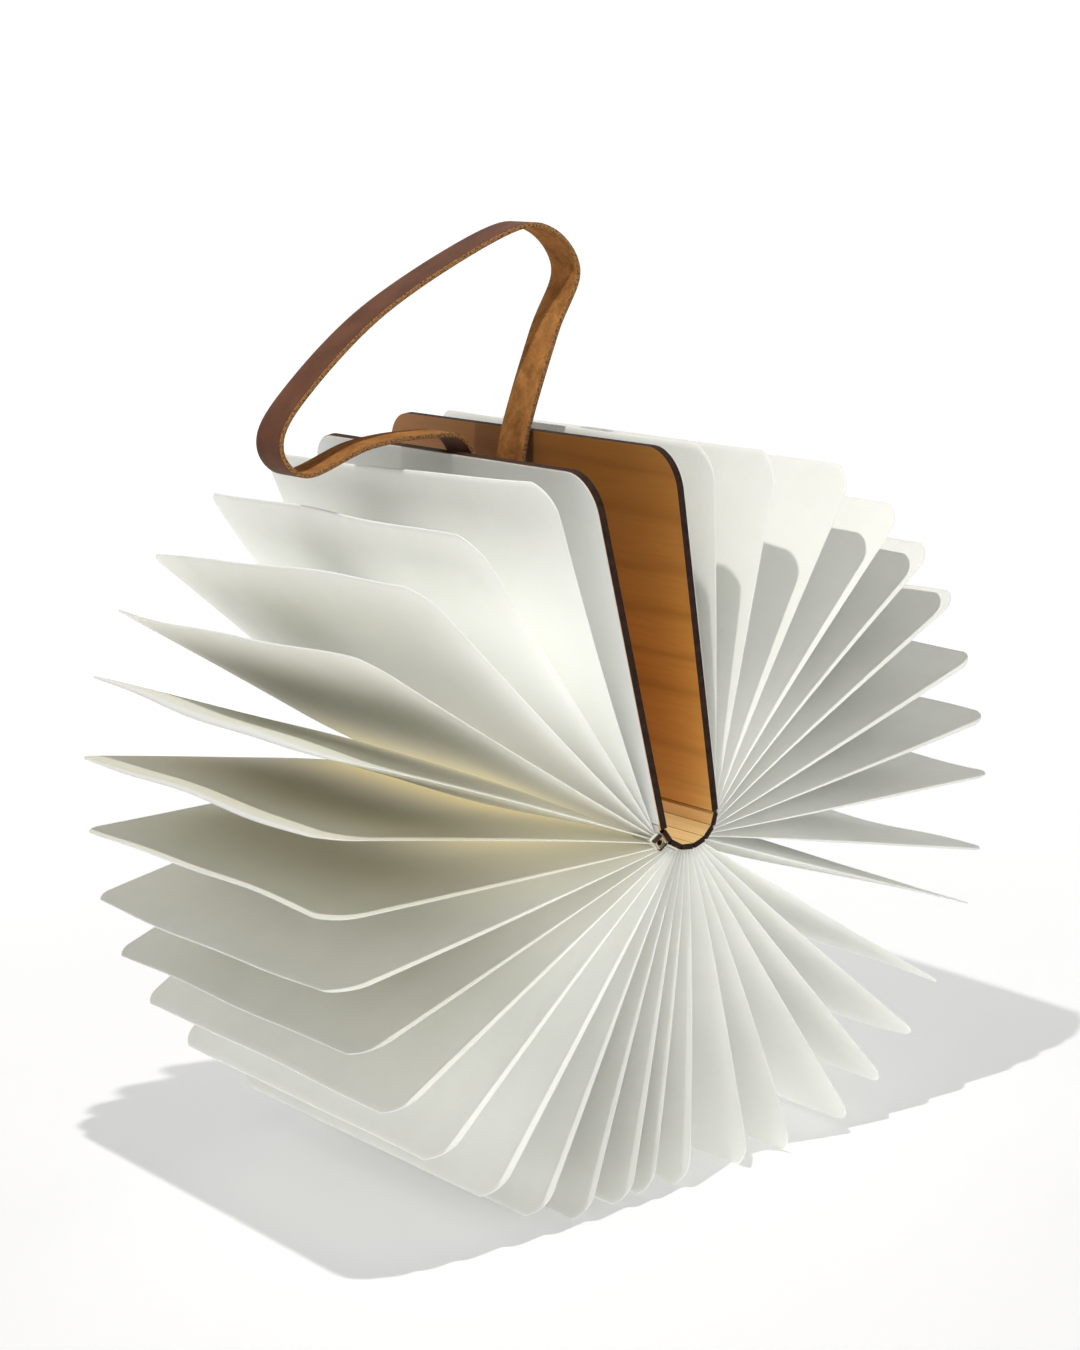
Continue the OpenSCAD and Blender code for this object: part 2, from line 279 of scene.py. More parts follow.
def wood_material(name, face, painted_light=0.0, hinge=None, along=None):
    """Oiled wood with its grain along the spine, and laser-cut edges burnt dark.
    face is the direction that the wood's broad face looks in. A share of painted light makes the
    wood paler all over. With a hinge point and the direction away from it, painted light makes the
    wood paler in streaks toward the hinge, and painted shade darkens it toward the far edge."""
    s = Shader(name, roughness=0.42, specular=0.15)
    warp = s.noise(s.place((5, 1.5, 5), offset=(3, 1, 2)), 2.0, detail=3)
    rings = s.node("TexWave", Vector=s.place((1, 0.10, 1)))
    rings.wave_type = "BANDS"
    rings.bands_direction = "Z"
    rings.inputs["Scale"].default_value = 17
    rings.inputs["Distortion"].default_value = 11
    rings.inputs["Detail"].default_value = 2.5
    rings.inputs["Detail Scale"].default_value = 1.1
    lines = s.math("POWER", rings.outputs["Fac"], 5.0)
    pores = s.noise(s.place((900, 35, 900)), 1.0, detail=5, roughness=0.7)
    tone = s.math("ADD", s.math("MULTIPLY", warp, 0.62), s.math("MULTIPLY", pores, 0.38))
    # Painted light: a share of paler colours where light falls on the wood
    dark = blend_tuples((0.52, 0.215, 0.040), (0.72, 0.46, 0.17), painted_light)
    light = blend_tuples((0.75, 0.36, 0.078), (0.95, 0.73, 0.36), painted_light)
    grain = blend_tuples((0.22, 0.072, 0.012), (0.50, 0.27, 0.08), painted_light)
    wood = s.ramp(tone, (0.3, dark), (0.68, light))
    wood = s.mix(s.math("MULTIPLY", lines, 0.26), wood, grain)
    # Painted light: paler streaks near the hinge. Painted shade: darker toward the far edge
    if hinge is not None:
        away = s.dot(s.place(offset=tuple(-hinge)), along)
        near = s.math("POWER", s.remap(away, 0.0, 60 * MM, 1.0, 0.0), 2.2)
        streaks = s.remap(s.noise(s.place((420, 6, 420)), 1.0, detail=3), 0.35, 0.65, 0.55, 1.0)
        wood = s.mix(s.math("MULTIPLY", near, streaks), wood, (0.86, 0.52, 0.17))
        wood = s.mix(s.remap(away, 70 * MM, 150 * MM, 0.0, 0.55), wood, (0.23, 0.095, 0.026))
    soot = s.noise(s.place((300, 300, 300)), 1.0, detail=4)
    burnt = s.ramp(soot, *BURNT)
    edge = s.remap(s.facing(face), 0.55, 0.9, 1.0, 0.0)
    s.color(s.mix(edge, wood, burnt))
    s.put(s.bsdf.inputs["Roughness"], s.math("ADD", 0.38, s.math("MULTIPLY", edge, 0.4)))
    s.bump(pores, 0.0003, 0.2)
    return s.material


def housing_material():
    """The charging housing: burnt wooden side plates with beige plastic between them at the
    near end, and off-white where it runs on between the leaves."""
    s = Shader("housing_wood", roughness=0.6, specular=0.3)
    middle = (HINGES[PORT_PLATE - 1] + HINGES[PORT_PLATE]) / 2
    across = s.dot(s.place(offset=tuple(-middle)), plate_direction(PORT_PLATE))
    off_middle = s.math("ABSOLUTE", across)
    plate = s.remap(off_middle, PORT_INNER_HALF - 0.1 * MM, PORT_INNER_HALF + 0.1 * MM)
    near_end = s.remap(s.dot(s.place(), (0, 1, 0)), *PORT_FADE, 1.0, 0.0)
    soot = s.noise(s.place(), 300, detail=4)
    burnt = s.ramp(soot, *BURNT)
    beige = s.ramp(soot, *BEIGE)
    s.color(s.mix(near_end, (0.78, 0.77, 0.69), s.mix(plate, beige, burnt)))
    s.bump(soot, 0.0002, 0.3)
    return s.material


def socket_material():
    """The charging socket: a beige face, and a reddish-brown inside."""
    s = Shader("socket_plastic", roughness=0.5, specular=0.4)
    grain = s.noise(s.place(), 300, detail=4)
    beige = s.ramp(grain, *BEIGE)
    inside = s.ramp(grain, (0.3, (0.15, 0.045, 0.022)), (0.8, (0.24, 0.080, 0.040)))
    s.color(s.mix(s.remap(s.facing((0, -1, 0)), 0.5, 0.9), inside, beige))
    s.bump(grain, 0.0002, 0.2)
    return s.material


def plain_material(name, dark, light, roughness, scale, bump=0.0002, metallic=0.0, specular=0.5):
    """A surface with a fine, slightly uneven finish."""
    s = Shader(name, roughness=roughness, specular=specular)
    s.bsdf.inputs["Metallic"].default_value = metallic
    grain = s.noise(s.place(), scale, detail=5, roughness=0.65)
    s.color(s.ramp(grain, (0.3, dark), (0.75, light)))
    s.bump(grain, bump, 0.4)
    return s.material


def cloth_material():
    """Matte white bookbinding cloth with a fine weave."""
    s = Shader("cloth", roughness=0.9, specular=0.2)
    weave = s.node("TexWave", Vector=s.place())
    weave.bands_direction = "Y"
    weave.inputs["Scale"].default_value = 700
    threads = s.noise(s.place(), 1200, detail=3)
    s.color(s.ramp(threads, (0.3, (0.66, 0.65, 0.60)), (0.75, (0.84, 0.83, 0.79))))
    s.bump(weave.outputs["Fac"], 0.0001, 0.3)
    return s.material


def smooth_leather():
    """The strap's outer side: dark reddish-brown leather with a fine grain, nearly matte."""
    s = Shader("leather_smooth", roughness=0.6, specular=0.12)
    pebbles = s.node("TexVoronoi", Vector=s.place())
    pebbles.feature = "SMOOTH_F1"
    pebbles.inputs["Scale"].default_value = 900
    clouds = s.noise(s.place(), 60, detail=4)
    scuffs = s.noise(s.place(), 500, detail=6, roughness=0.8)
    tone = s.math("ADD", s.math("MULTIPLY", clouds, 0.7), s.math("MULTIPLY", scuffs, 0.3))
    s.color(s.ramp(tone, (0.3, (0.070, 0.025, 0.012)), (0.72, (0.145, 0.056, 0.026))))
    s.put(s.bsdf.inputs["Roughness"], s.remap(scuffs, 0.3, 0.7, 0.55, 0.72))
    s.bump(pebbles.outputs["Distance"], 0.0003, 0.35)
    return s.material


def suede_leather():
    """The strap's inner side: tan suede, soft and mottled."""
    s = Shader("leather_suede", roughness=0.95, specular=0.05)
    nap = s.noise(s.place(), 520, detail=6, roughness=0.85)
    clouds = s.noise(s.place(), 110, detail=4, distortion=0.6)
    tone = s.math("ADD", s.math("MULTIPLY", clouds, 0.55), s.math("MULTIPLY", nap, 0.45))
    s.color(s.ramp(tone, (0.36, (0.21, 0.088, 0.024)), (0.64, (0.48, 0.215, 0.065))))
    s.bump(nap, 0.0006, 0.6)
    return s.material


def cut_leather():
    """The strap's cut edges: raw tan leather with fine dark specks."""
    s = Shader("leather_cut", roughness=0.9, specular=0.05)
    specks = s.noise(s.place(), 1100, detail=3, roughness=0.6)
    s.color(s.ramp(specks, (0.36, (0.075, 0.034, 0.014)), (0.56, (0.34, 0.175, 0.068))))
    s.bump(specks, 0.0004, 0.6)
    return s.material


# ---------------------------------------------------------------- mesh helpers

def new_mesh(name, vertices, faces, materials, face_materials=None, smooth=True):
    mesh = bpy.data.meshes.new(name)
    mesh.from_pydata(vertices, [], faces)
    mesh.validate()
    for material in materials:
        mesh.materials.append(material)
    if face_materials:
        mesh.polygons.foreach_set("material_index", face_materials)
    mesh.polygons.foreach_set("use_smooth", [smooth] * len(mesh.polygons))
    made = bpy.data.objects.new(name, mesh)
    bpy.context.scene.collection.objects.link(made)
    return made


def bands(rows, count):
    """The quads between the rows of a mesh whose rows are closed rings of count vertices."""
    for r in range(rows - 1):
        for n in range(count):
            a, b = r * count + n, r * count + (n + 1) % count
            yield a, b, b + count, a + count


def add_attribute(made, name, values):
    attribute = made.data.attributes.new(name, "FLOAT", "POINT")
    attribute.data.foreach_set("value", values)


def smoothstep(t):
    t = min(1.0, max(0.0, t))
    return t * t * (3 - 2 * t)


# ---------------------------------------------------------------- leaves

# In this section u runs along a leaf from its crease to its fore-edge, and v along the spine

# Rows of a leaf's mesh round each corner and between the corners, and its columns
EDGE_ROWS = 7
MIDDLE_ROWS = 19
COLUMNS = 34
# Size of each rounded corner along the spine and toward it, and how straight its cut is
NEAR_CORNER = (12 * MM, 14 * MM)
FAR_CORNER = (7 * MM, 8 * MM)
CORNER_KINK = 0.28
# How far off the spine the leaves' roots lie, half the thickness of a leaf's seam, and how far
# the seam's round edge stands out at most
ROOT_START = 1.0 * MM
SEAM_HALF = 0.20 * MM
SEAM_ROUND = 0.35 * MM
# How much of the gap to its neighbour a leaf may fill, how far its sheets bulge at most, and
# from where on the bulge shrinks toward the fore-edge
SHEET_GAP = 0.96
BULGE_PEAK = 6.0 * MM
BULGE_FROM = 40 * MM
# How far the sheets stand apart at the fore-edge, and the widths over which that and a gape grow
FORE_EDGE_HALF = 0.27 * MM
FORE_EDGE_REACH = 30 * MM
GAPE_REACH = 80 * MM
# The leaves that make room for the charging housing and for the battery, how far those reach
# along the spine, and where the leaves start there
PORT_LENGTH = 18 * MM
PORT_LEAVES = range(4, 7)
PORT_REACH = 3.4 * MM
BATTERY_HALF = 72 * MM
BATTERY_LEAVES = range(12, 18)
BATTERY_START = -3.5 * MM

# How far each leaf's near and far corners lean out of its plane, in millimetres
LEAF_LEAN = {1: (-11, 0), 2: (-1, 2.5), 3: (-8, 3), 4: (-2, 2.5), 5: (5, 2), 6: (4.5, 5.5),
             7: (-4, -4.5), 8: (-1.5, -1), 9: (-4.5, -2.5), 10: (-1.5, -4), 11: (3, -2.5),
             16: (-9, -9), 17: (-11, -11), 18: (-10, -10), 19: (-6, -6), 20: (3, 3), 21: (2, 2),
             22: (2.5, 2.5), 23: (3.5, 3.5), 25: (-3, -3), 26: (4, 4), 27: (1.5, 1.5),
             28: (0.5, 0.5), 29: (-8.5, -8.5), 30: (-8.5, -8.5), 31: (-13, -11), 32: (-8, -8),
             34: (9, 6)}
# How much narrower than the CAD leaf some leaves are, or wider where it is below zero
LEAF_TRIM = {1: 4 * MM, 2: 3 * MM, 4: -2.5 * MM, 5: -2.5 * MM, 33: 8 * MM, 34: 8 * MM}
# Leaves whose two sheets gape at the fore-edge, and by how much more than the others
LEAF_GAPE = {5: 2.2 * MM, 6: 1.4 * MM}

# Painted light. How much each leaf glows warmly near the spine, as if lit from inside, and
# where along u the glow starts to fade and over what width
LEAF_WARM = {1: 0.05, 2: 0.1, 3: 0.3, 4: 0.55, 5: 0.85, 6: 1.0, 7: 0.95, 8: 0.5, 9: 0.35, 10: 0.25}
COMMON_WARM = 0.15
WARM_FADE = (30 * MM, 75 * MM)
# Painted warm shade: how far the paper of each leaf is darkened to a brownish grey, in shade beside
# that glow
LEAF_WARM_SHADE = {3: 0.05, 4: 0.25, 5: 0.7, 6: 1.0, 7: 0.5, 8: 0.2, 9: 0.25, 10: 0.1}
WARM_SHADE_FADE = (95 * MM, 75 * MM)
# A faint glow of every leaf near the spine
ROOT_LIT = 0.05
ROOT_REACH = 90 * MM
# Painted light: how much the first leaves glow, as if lit from behind: where along u and how
# wide, and the place, the size and the depth of a painted shadow of the strap on that glow
LEAF_LIT = {1: 0.19, 2: 0.21, 3: 0.16}
LIT_PLACE = 85 * MM
LIT_SIZE = 48 * MM
STRAP_SHADOW_PLACE = (118 * MM, 30 * MM)
STRAP_SHADOW_SIZE = (26 * MM, 30 * MM)
STRAP_SHADOW_DEPTH = 0.75
# An even glow of each leaf, in place of light scattered between the leaves
LEAF_FILL = {8: 0.05, 10: 0.09, 11: 0.10, 12: 0.08, 13: 0.03, 14: 0.0, 15: 0.03, 16: 0.04,
             17: 0.05, 18: 0.06, 19: 0.07, 20: 0.08, 21: 0.08, 22: 0.08, 23: 0.09,
             31: 0.06, 32: 0.05, 33: 0.04}
COMMON_FILL = 0.01


def corner_inset(v, half_length):
    """How much narrower the leaf is at v, because of its rounded corner."""
    along, down = NEAR_CORNER if v < 0 else FAR_CORNER
    t = (abs(v) - (half_length - along)) / along
    if t <= 0:
        return 0.0
    t = min(1.0, t)
    curve = 1 - math.sqrt(max(0.0, 1 - t * t))
    return down * ((1 - CORNER_KINK) * curve + CORNER_KINK * t)


def rows_along(half_length):
    """Places of the leaf's rows along the spine, closer together round the corners."""
    near, far = NEAR_CORNER[0], FAR_CORNER[0]
    low, high = near - half_length, half_length - far
    turn = [math.sin(math.pi / 2 * n / EDGE_ROWS) for n in range(1, EDGE_ROWS + 1)]
    inner = [low + (high - low) * n / (MIDDLE_ROWS - 1) for n in range(MIDDLE_ROWS)]
    return [low - near * t for t in reversed(turn)] + inner + [high + far * t for t in turn]


def spine_foot(share):
    """Point on the spine's page side, a share of the way round from cover to cover."""
    lengths = [(b - a).length for a, b in zip(HINGES, HINGES[1:])]
    left = share * sum(lengths)
    for k, length in enumerate(lengths):
        if left <= length or k == len(lengths) - 1:
            along = (HINGES[k + 1] - HINGES[k]).normalized()
            outward = Vector((along.z, 0, -along.x))
            return HINGES[k] + along * left + outward * ROOT_START
        left -= length


class Leaf:
    """One hollow paper leaf, laid out from its joint and its CAD solid."""

    def __init__(self, number):
        self.number = number
        self.name = f"leaf_{number:02d}"
        self.crease = Vector(JOINTS[self.name + "_crease"]["pos_m"])
        self.crease.y = 0
        flat = [Vector((v.co.x, 0, v.co.z)) - self.crease for v in NODES[self.name].data.vertices]
        longest = max(p.length for p in flat)
        far = [p for p in flat if p.length > longest - 0.05 * MM]
        middle = sum(far, Vector()) / len(far)
        self.reach = middle.length - LEAF_TRIM.get(number, 0)
        self.along = middle.normalized()
        self.normal = Vector((-self.along.z, 0, self.along.x))
        low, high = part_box(self.name)
        self.half_length = (high.y - low.y) / 2
        self.foot = spine_foot((number - 0.5) / LEAVES)
        self.foot_u = min((self.foot - self.crease).dot(self.along), -1 * MM)
        self.foot_n = (self.foot - self.crease).dot(self.normal)
        lean = sum(LEAF_LEAN.get(number, (0, 0))) / 2 * MM
        self.tip = self.crease + self.along * self.reach + self.normal * lean
        self.gaps = {}

    def measure_gaps(self, before, after):
        """Half the distance to the leaf on each side, at the spine and at the fore-edge. The first
        and the last leaf take the one that they have for both sides."""
        for side, other in ((-1, before or after), (1, after or before)):
            at_foot, at_tip = (self.foot - other.foot).length, (self.tip - other.tip).length
            self.gaps[side] = (at_foot / 2, at_tip / 2)

    def start(self, v):
        """Where the leaf begins at v: at the spine, or further out at the port and the battery."""
        if self.number in PORT_LEAVES and v < PORT_LENGTH - self.half_length:
            return self.foot_u + PORT_REACH
        if self.number in BATTERY_LEAVES and abs(v) < BATTERY_HALF:
            return max(self.foot_u, BATTERY_START)
        return self.foot_u

    def offset(self, u, v):
        """How far the leaf's middle surface lies out of its plane: the lean of its corners, two
        slight ripples, and the way to its root."""
        share = max(0.0, u / self.reach)
        near, far = LEAF_LEAN.get(self.number, (0, 0))
        side = (v / self.half_length + 1) / 2
        lean = (near + (far - near) * side) * share ** 1.5
        phase = self.number * 1.7
        ripple = 1.0 * math.sin(v * 26 + phase) * share ** 2
        ripple += 0.5 * math.sin(v * 61 + u * 18 + 2 * phase) * share ** 1.5
        root = self.foot_n * max(0.0, (self.reach - u) / (self.reach - self.foot_u)) ** 1.1
        return (lean + ripple) * MM + root

    def half(self, u, v, side):
        """Distance of a sheet from the leaf's middle. The leaf is pinched at both ends and puffed
        between: leaves all but touch near the spine, and part toward the fore-edge."""
        middle = max(0.0, 1 - (abs(v) / self.half_length) ** 4)
        foot_gap, tip_gap = self.gaps[side]
        t = max(0.0, (u - self.foot_u) / (self.reach - self.foot_u))
        touching = SHEET_GAP * (foot_gap + (tip_gap - foot_gap) * t) - SEAM_HALF
        peak = BULGE_PEAK * max(0.0, min(1.3, (self.reach - u) / (self.reach - BULGE_FROM)))
        bulge = touching * peak / (touching ** 6 + peak ** 6) ** (1 / 6) if peak > 0 else 0.0
        gape = LEAF_GAPE.get(self.number, 0) / 2 * smoothstep(1 - (self.reach - u) / GAPE_REACH)
        fore_edge = FORE_EDGE_HALF * smoothstep(1 - (self.reach - u) / FORE_EDGE_REACH)
        return SEAM_HALF + (bulge + gape + fore_edge) * middle

    # Painted warm shade of the paper at u, deepest near the spine
    def warm_shade(self, u):
        depth = 1 - smoothstep((u - WARM_SHADE_FADE[0]) / WARM_SHADE_FADE[1])
        return LEAF_WARM_SHADE.get(self.number, 0.0) * (0.45 + 0.55 * depth)

    def warm(self, u, v):
        depth = 1 - smoothstep((u - WARM_FADE[0]) / WARM_FADE[1])
        middle = smoothstep((1 - abs(v) / self.half_length) / 0.6)
        amount = LEAF_WARM.get(self.number, COMMON_WARM)
        return amount * depth * (0.3 + 0.7 * middle)

    # Painted light: a glow as if lit from behind, with a painted shadow of the strap in it, a glow
    # near the spine and an even fill
    def lit(self, u, v):
        depth = math.exp(-((u - LIT_PLACE) / LIT_SIZE) ** 2)
        off_strap_shadow = ((u - STRAP_SHADOW_PLACE[0]) / STRAP_SHADOW_SIZE[0]) ** 2
        off_strap_shadow += ((v - STRAP_SHADOW_PLACE[1]) / STRAP_SHADOW_SIZE[1]) ** 2
        lit = LEAF_LIT.get(self.number, 0.0) * depth * (1 - STRAP_SHADOW_DEPTH * math.exp(-off_strap_shadow))
        root = ROOT_LIT * (1 - smoothstep(u / ROOT_REACH))
        return lit + root + LEAF_FILL.get(self.number, COMMON_FILL)


def make_leaf(leaf, paper):
    """A hollow paper leaf: two sheets joined round a thin rounded seam."""
    rows = rows_along(leaf.half_length)
    vertices, places = [], []
    for side in (1, -1):
        for v in rows:
            start = leaf.start(v)
            end = leaf.reach - corner_inset(v, leaf.half_length)
            for n in range(COLUMNS):
                u = start + (end - start) * (1 - (1 - n / (COLUMNS - 1)) ** 1.2)
                out = leaf.offset(u, v) + side * leaf.half(u, v, side)
                place = leaf.crease + leaf.along * u + leaf.normal * out
                vertices.append((place.x, v, place.z))
                places.append((u, v, 0.0))
    sheet = len(rows) * COLUMNS
    faces = []
    for r in range(len(rows) - 1):
        for c in range(COLUMNS - 1):
            a = r * COLUMNS + c
            faces.append((a, a + COLUMNS, a + COLUMNS + 1, a + 1))
            faces.append(tuple(sheet + n for n in (a, a + 1, a + COLUMNS + 1, a + COLUMNS)))
    last_row, last = len(rows) - 1, COLUMNS - 1
    ring = list(range(COLUMNS))
    ring += [r * COLUMNS + last for r in range(1, len(rows))]
    ring += [last_row * COLUMNS + c for c in range(last - 1, -1, -1)]
    ring += [r * COLUMNS for r in range(last_row - 1, 0, -1)]
    first = len(vertices)
    for n in ring:
        top, under = Vector(vertices[n]), Vector(vertices[sheet + n])
        r, c = divmod(n, COLUMNS)
        out = Vector((0, 0, 0))
        if c == last:
            out += leaf.along
        if r in (0, last_row):
            out += Vector((0, math.copysign(1, rows[r]), 0))
        out = out.normalized() * min(SEAM_ROUND, (top - under).length / 2)
        vertices.append(tuple((top + under) / 2 + out))
        u, v, _ = places[n]
        places.append((u, v, 1.0))
    for n, here in enumerate(ring):
        m = (n + 1) % len(ring)
        faces.append((here, ring[m], first + m, first + n))
        faces.append((first + n, first + m, sheet + ring[m], sheet + here))
    made = new_mesh(leaf.name + "_paper", vertices, faces, [paper])
    add_attribute(made, "warm", [leaf.warm(u, v) * (1 - edge) for u, v, edge in places])
    add_attribute(made, "warm_shade", [leaf.warm_shade(u) * (1 - edge) for u, _, edge in places])
    add_attribute(made, "lit", [leaf.lit(u, v) for u, v, _ in places])
    add_attribute(made, "edge", [edge for _, _, edge in places])
    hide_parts(leaf.name)
    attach(made, leaf.name)
    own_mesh(made)


# ---------------------------------------------------------------- roots, cloth and end sheets

# The pleats of each slat's root strip, the height of their valleys and peaks off the slat, and
# the strip's thickness at the valleys
LEAVES_ON_SLAT = {1: 4, 2: 5, 3: 6, 4: 6, 5: 5, 6: 4}
ROOT_LOW = 0.45 * MM
ROOT_HIGH = 1.15 * MM
ROOT_THIN = 0.02 * MM
ROOT_HALF_LENGTH = 106 * MM
PLEAT_STEPS = 4
# Bare width that a root strip leaves beside an LED board and beside the next slat
LED_ROOM = 1.9 * MM
PLATE_ROOM = 0.4 * MM
CLOTH_LIFT = 0.05 * MM
CLOTH_THICKNESS = 0.35 * MM
CLOTH_HALF_LENGTH = 109 * MM
CLOTH_ON_COVER = 3 * MM
CLOTH_BENDS = 8
END_SHEET_GAP = 0.25 * MM
END_SHEET_START = 3.5 * MM
END_SHEET_LIFT = (0.02 * MM, 0.42 * MM)
COVER_HALF_LENGTH = 110 * MM
COVER_CORNER = 17 * MM
CORNER_STEPS = 10


def make_end_sheet(side, hinge, angle, page_side, paper):
    """The paper pasted over a cover's page side, out to just short of the wood's edges.
    page_side is the direction that the cover's page side looks in."""
    half = COVER_HALF_LENGTH - END_SHEET_GAP
    top = COVER_WIDTH * MM - END_SHEET_GAP
    radius = COVER_CORNER - END_SHEET_GAP
    outline = [(END_SHEET_START, -half)]
    for y, turn in ((-half + radius, -90), (half - radius, 0)):
        for n in range(CORNER_STEPS + 1):
            a = math.radians(turn + 90 * n / CORNER_STEPS)
            outline.append((top - radius + radius * math.cos(a), y + radius * math.sin(a)))
    outline.append((END_SHEET_START, half))
    along, out = in_plane(angle), in_plane(page_side)
    vertices = []
    for lift in END_SHEET_LIFT:
        for u, y in outline:
            place = hinge + along * u + out * lift
            vertices.append((place.x, y, place.z))
    count = len(outline)
    faces = [tuple(range(count))[::-1], tuple(range(count, 2 * count)), *bands(2, count)]
    made = new_mesh(f"end_leaf_{side}_paper", vertices, faces, [paper], smooth=False)
    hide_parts(f"end_leaf_{side}")
    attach(made, f"cover_{side}")


def sweep_profile(name, outline, low, high, materials):
    """A closed outline of the plane across the spine, given a length along the spine."""
    count = len(outline)
    vertices = [(p.x, y, p.z) for y in (low, high) for p in outline]
    faces = [*bands(2, count), tuple(range(count))[::-1], tuple(range(count, 2 * count))]
    return new_mesh(name, vertices, faces, materials, smooth=False)


def make_roots(k, paper):
    """The leaves' glued roots on slat k: a shallow pleated strip on the spine's page side."""
    along = plate_direction(k)
    outward = Vector((along.z, 0, -along.x))
    width = (HINGES[k] - HINGES[k - 1]).length
    low, high = PLATE_ROOM, width - PLATE_ROOM
    # The LED boards lie on slats 2 and 5, the battery on slat 3 and the housing on slat 1
    if k == 2:
        high = width - LED_ROOM
    if k == 5:
        low = LED_ROOM
    steps = LEAVES_ON_SLAT[k] * PLEAT_STEPS
    top = []
    for n in range(steps + 1):
        u = low + (high - low) * n / steps
        rise = 0.5 - 0.5 * math.cos(2 * math.pi * n / PLEAT_STEPS)
        height = ROOT_LOW + (ROOT_HIGH - ROOT_LOW) * rise
        top.append(HINGES[k - 1] + along * u + outward * height)
    base = [HINGES[k - 1] + along * u + outward * (ROOT_LOW - ROOT_THIN) for u in (high, low)]
    half = ROOT_HALF_LENGTH
    spans = [(-half, half)]
    if k == 3:
        spans = [(-half, -BATTERY_HALF), (BATTERY_HALF, half)]
    elif k <= 2:
        spans = [(PORT_LENGTH - half, half)]
    for n, (start, end) in enumerate(spans):
        name = f"leaf_roots_{k}_pleats" + ("" if n == 0 else "_far")
        roots = sweep_profile(name, top + base, start, end, [paper])
        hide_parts(f"leaf_roots_{k}")
        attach(roots, f"slat_{k}")


def make_cloth(k, cloth):
    """The strip of cloth over hinge line k, from the middle of one slat to the middle of the
    next. The first and the last strip end on a cover."""
    before = plate_direction(k) if k > 0 else -in_plane(LEFT_COVER)
    after = plate_direction(k + 1) if k < 6 else in_plane(RIGHT_COVER)
    half = (HINGES[1] - HINGES[0]).length / 2
    back = CLOTH_ON_COVER if k == 0 else half
    ahead = CLOTH_ON_COVER if k == 6 else half
    a = math.atan2(before.z, before.x)
    turn = (math.atan2(after.z, after.x) - a + math.pi) % (2 * math.pi) - math.pi
    out_a, out_b = Vector((before.z, 0, -before.x)), Vector((after.z, 0, -after.x))
    sides = []
    for lift in (CLOTH_LIFT, CLOTH_LIFT + CLOTH_THICKNESS):
        side = [HINGES[k] - before * back + out_a * lift]
        for n in range(CLOTH_BENDS + 1):
            direction = in_plane(a + turn * n / CLOTH_BENDS)
            side.append(HINGES[k] + Vector((direction.z, 0, -direction.x)) * lift)
        side.append(HINGES[k] + after * ahead + out_b * lift)
        sides.append(side)
    name = f"spine_cloth_{k + 1}"
    outline = sides[0] + sides[1][::-1]
    strip = sweep_profile(name, outline, -CLOTH_HALF_LENGTH, CLOTH_HALF_LENGTH, [cloth])
    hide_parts("spine_cloth")
    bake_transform(strip)


# ---------------------------------------------------------------- strap

STRAP_HALF_WIDTH = 10 * MM
STRAP_HALF_THICKNESS = 1 * MM
STRAP_ROUND = 0.35 * MM
# Steps between two points of the strap's route and across its width
STRAP_STEPS = 12
STRAP_ACROSS = 8

# In millimetres: how far the strap runs past a peg's middle, how far that is below the cover's
# fore-edge, a peg's height and radius, and the height of the strap's middle off the wood
STRAP_TAIL = 7
PEG_INSET = 29
PEG_HEIGHT = 8
PEG_RADIUS = 7
STRAP_LIFT = PEG_HEIGHT + 1
# A peg's sides, and its outline: a share of its radius, and the millimetres off the wood there
PEG_TURNS = 48
PEG_PROFILE = [(0, 0.3), (0.86, 0.3), (0.96, 0.6), (1, 1.3), (1, 6.4), (0.95, 7.3), (0.82, 7.9),
               (0, 7.95)]

# The strap's loop beyond the covers, in millimetres from the right and the left cover's corner
LOOP_RIGHT = [(-3, 0), (16, 40), (30, 65), (18, 84), (-6, 85)]
LOOP_LEFT = [(-30, 64), (-74, 33), (-86, 15), (-75, 2), (-44, 9), (-14, 9), (3, 4)]


def cover_corner(hinge, angle, wood_side):
    """A cover's fore-edge on its wood face; wood_side is the direction that the face looks in."""
    return hinge + (in_plane(angle) * COVER_WIDTH + in_plane(wood_side) * COVER_THICKNESS) * MM


LEFT_CORNER = cover_corner(HINGES[0], LEFT_COVER, LEFT_WOOD)
RIGHT_CORNER = cover_corner(HINGES[6], RIGHT_COVER, RIGHT_WOOD)


def beside(corner, angle, wood_side, below, lift):
    """A point beside a cover's wood face, at a distance below its fore-edge."""
    return corner - in_plane(angle) * below * MM + in_plane(wood_side) * lift * MM


def strap_route():
    """Points of the strap's middle, from its end on the right cover to its end on the left."""
    ends = [PEG_INSET + STRAP_TAIL, PEG_INSET - STRAP_TAIL]
    right = [beside(RIGHT_CORNER, RIGHT_COVER, RIGHT_WOOD, below, STRAP_LIFT) for below in ends]
    left = [beside(LEFT_CORNER, LEFT_COVER, LEFT_WOOD, below, STRAP_LIFT) for below in ends]
    right += [RIGHT_CORNER + Vector((x, 0, z)) * MM for x, z in LOOP_RIGHT]
    return right + [LEFT_CORNER + Vector((x, 0, z)) * MM for x, z in LOOP_LEFT] + left[::-1]


def smooth_line(points, steps):
    """A Catmull-Rom curve through the points."""
    line = []
    for n in range(len(points) - 1):
        a, b = points[max(0, n - 1)], points[n]
        c, d = points[n + 1], points[min(len(points) - 1, n + 2)]
        for s in range(steps):
            t = s / steps
            line.append(0.5 * (2 * b + (c - a) * t + (2 * a - 5 * b + 4 * c - d) * t * t
                               + (3 * b - a - 3 * c + d) * t ** 3))
    return line + [points[-1]]


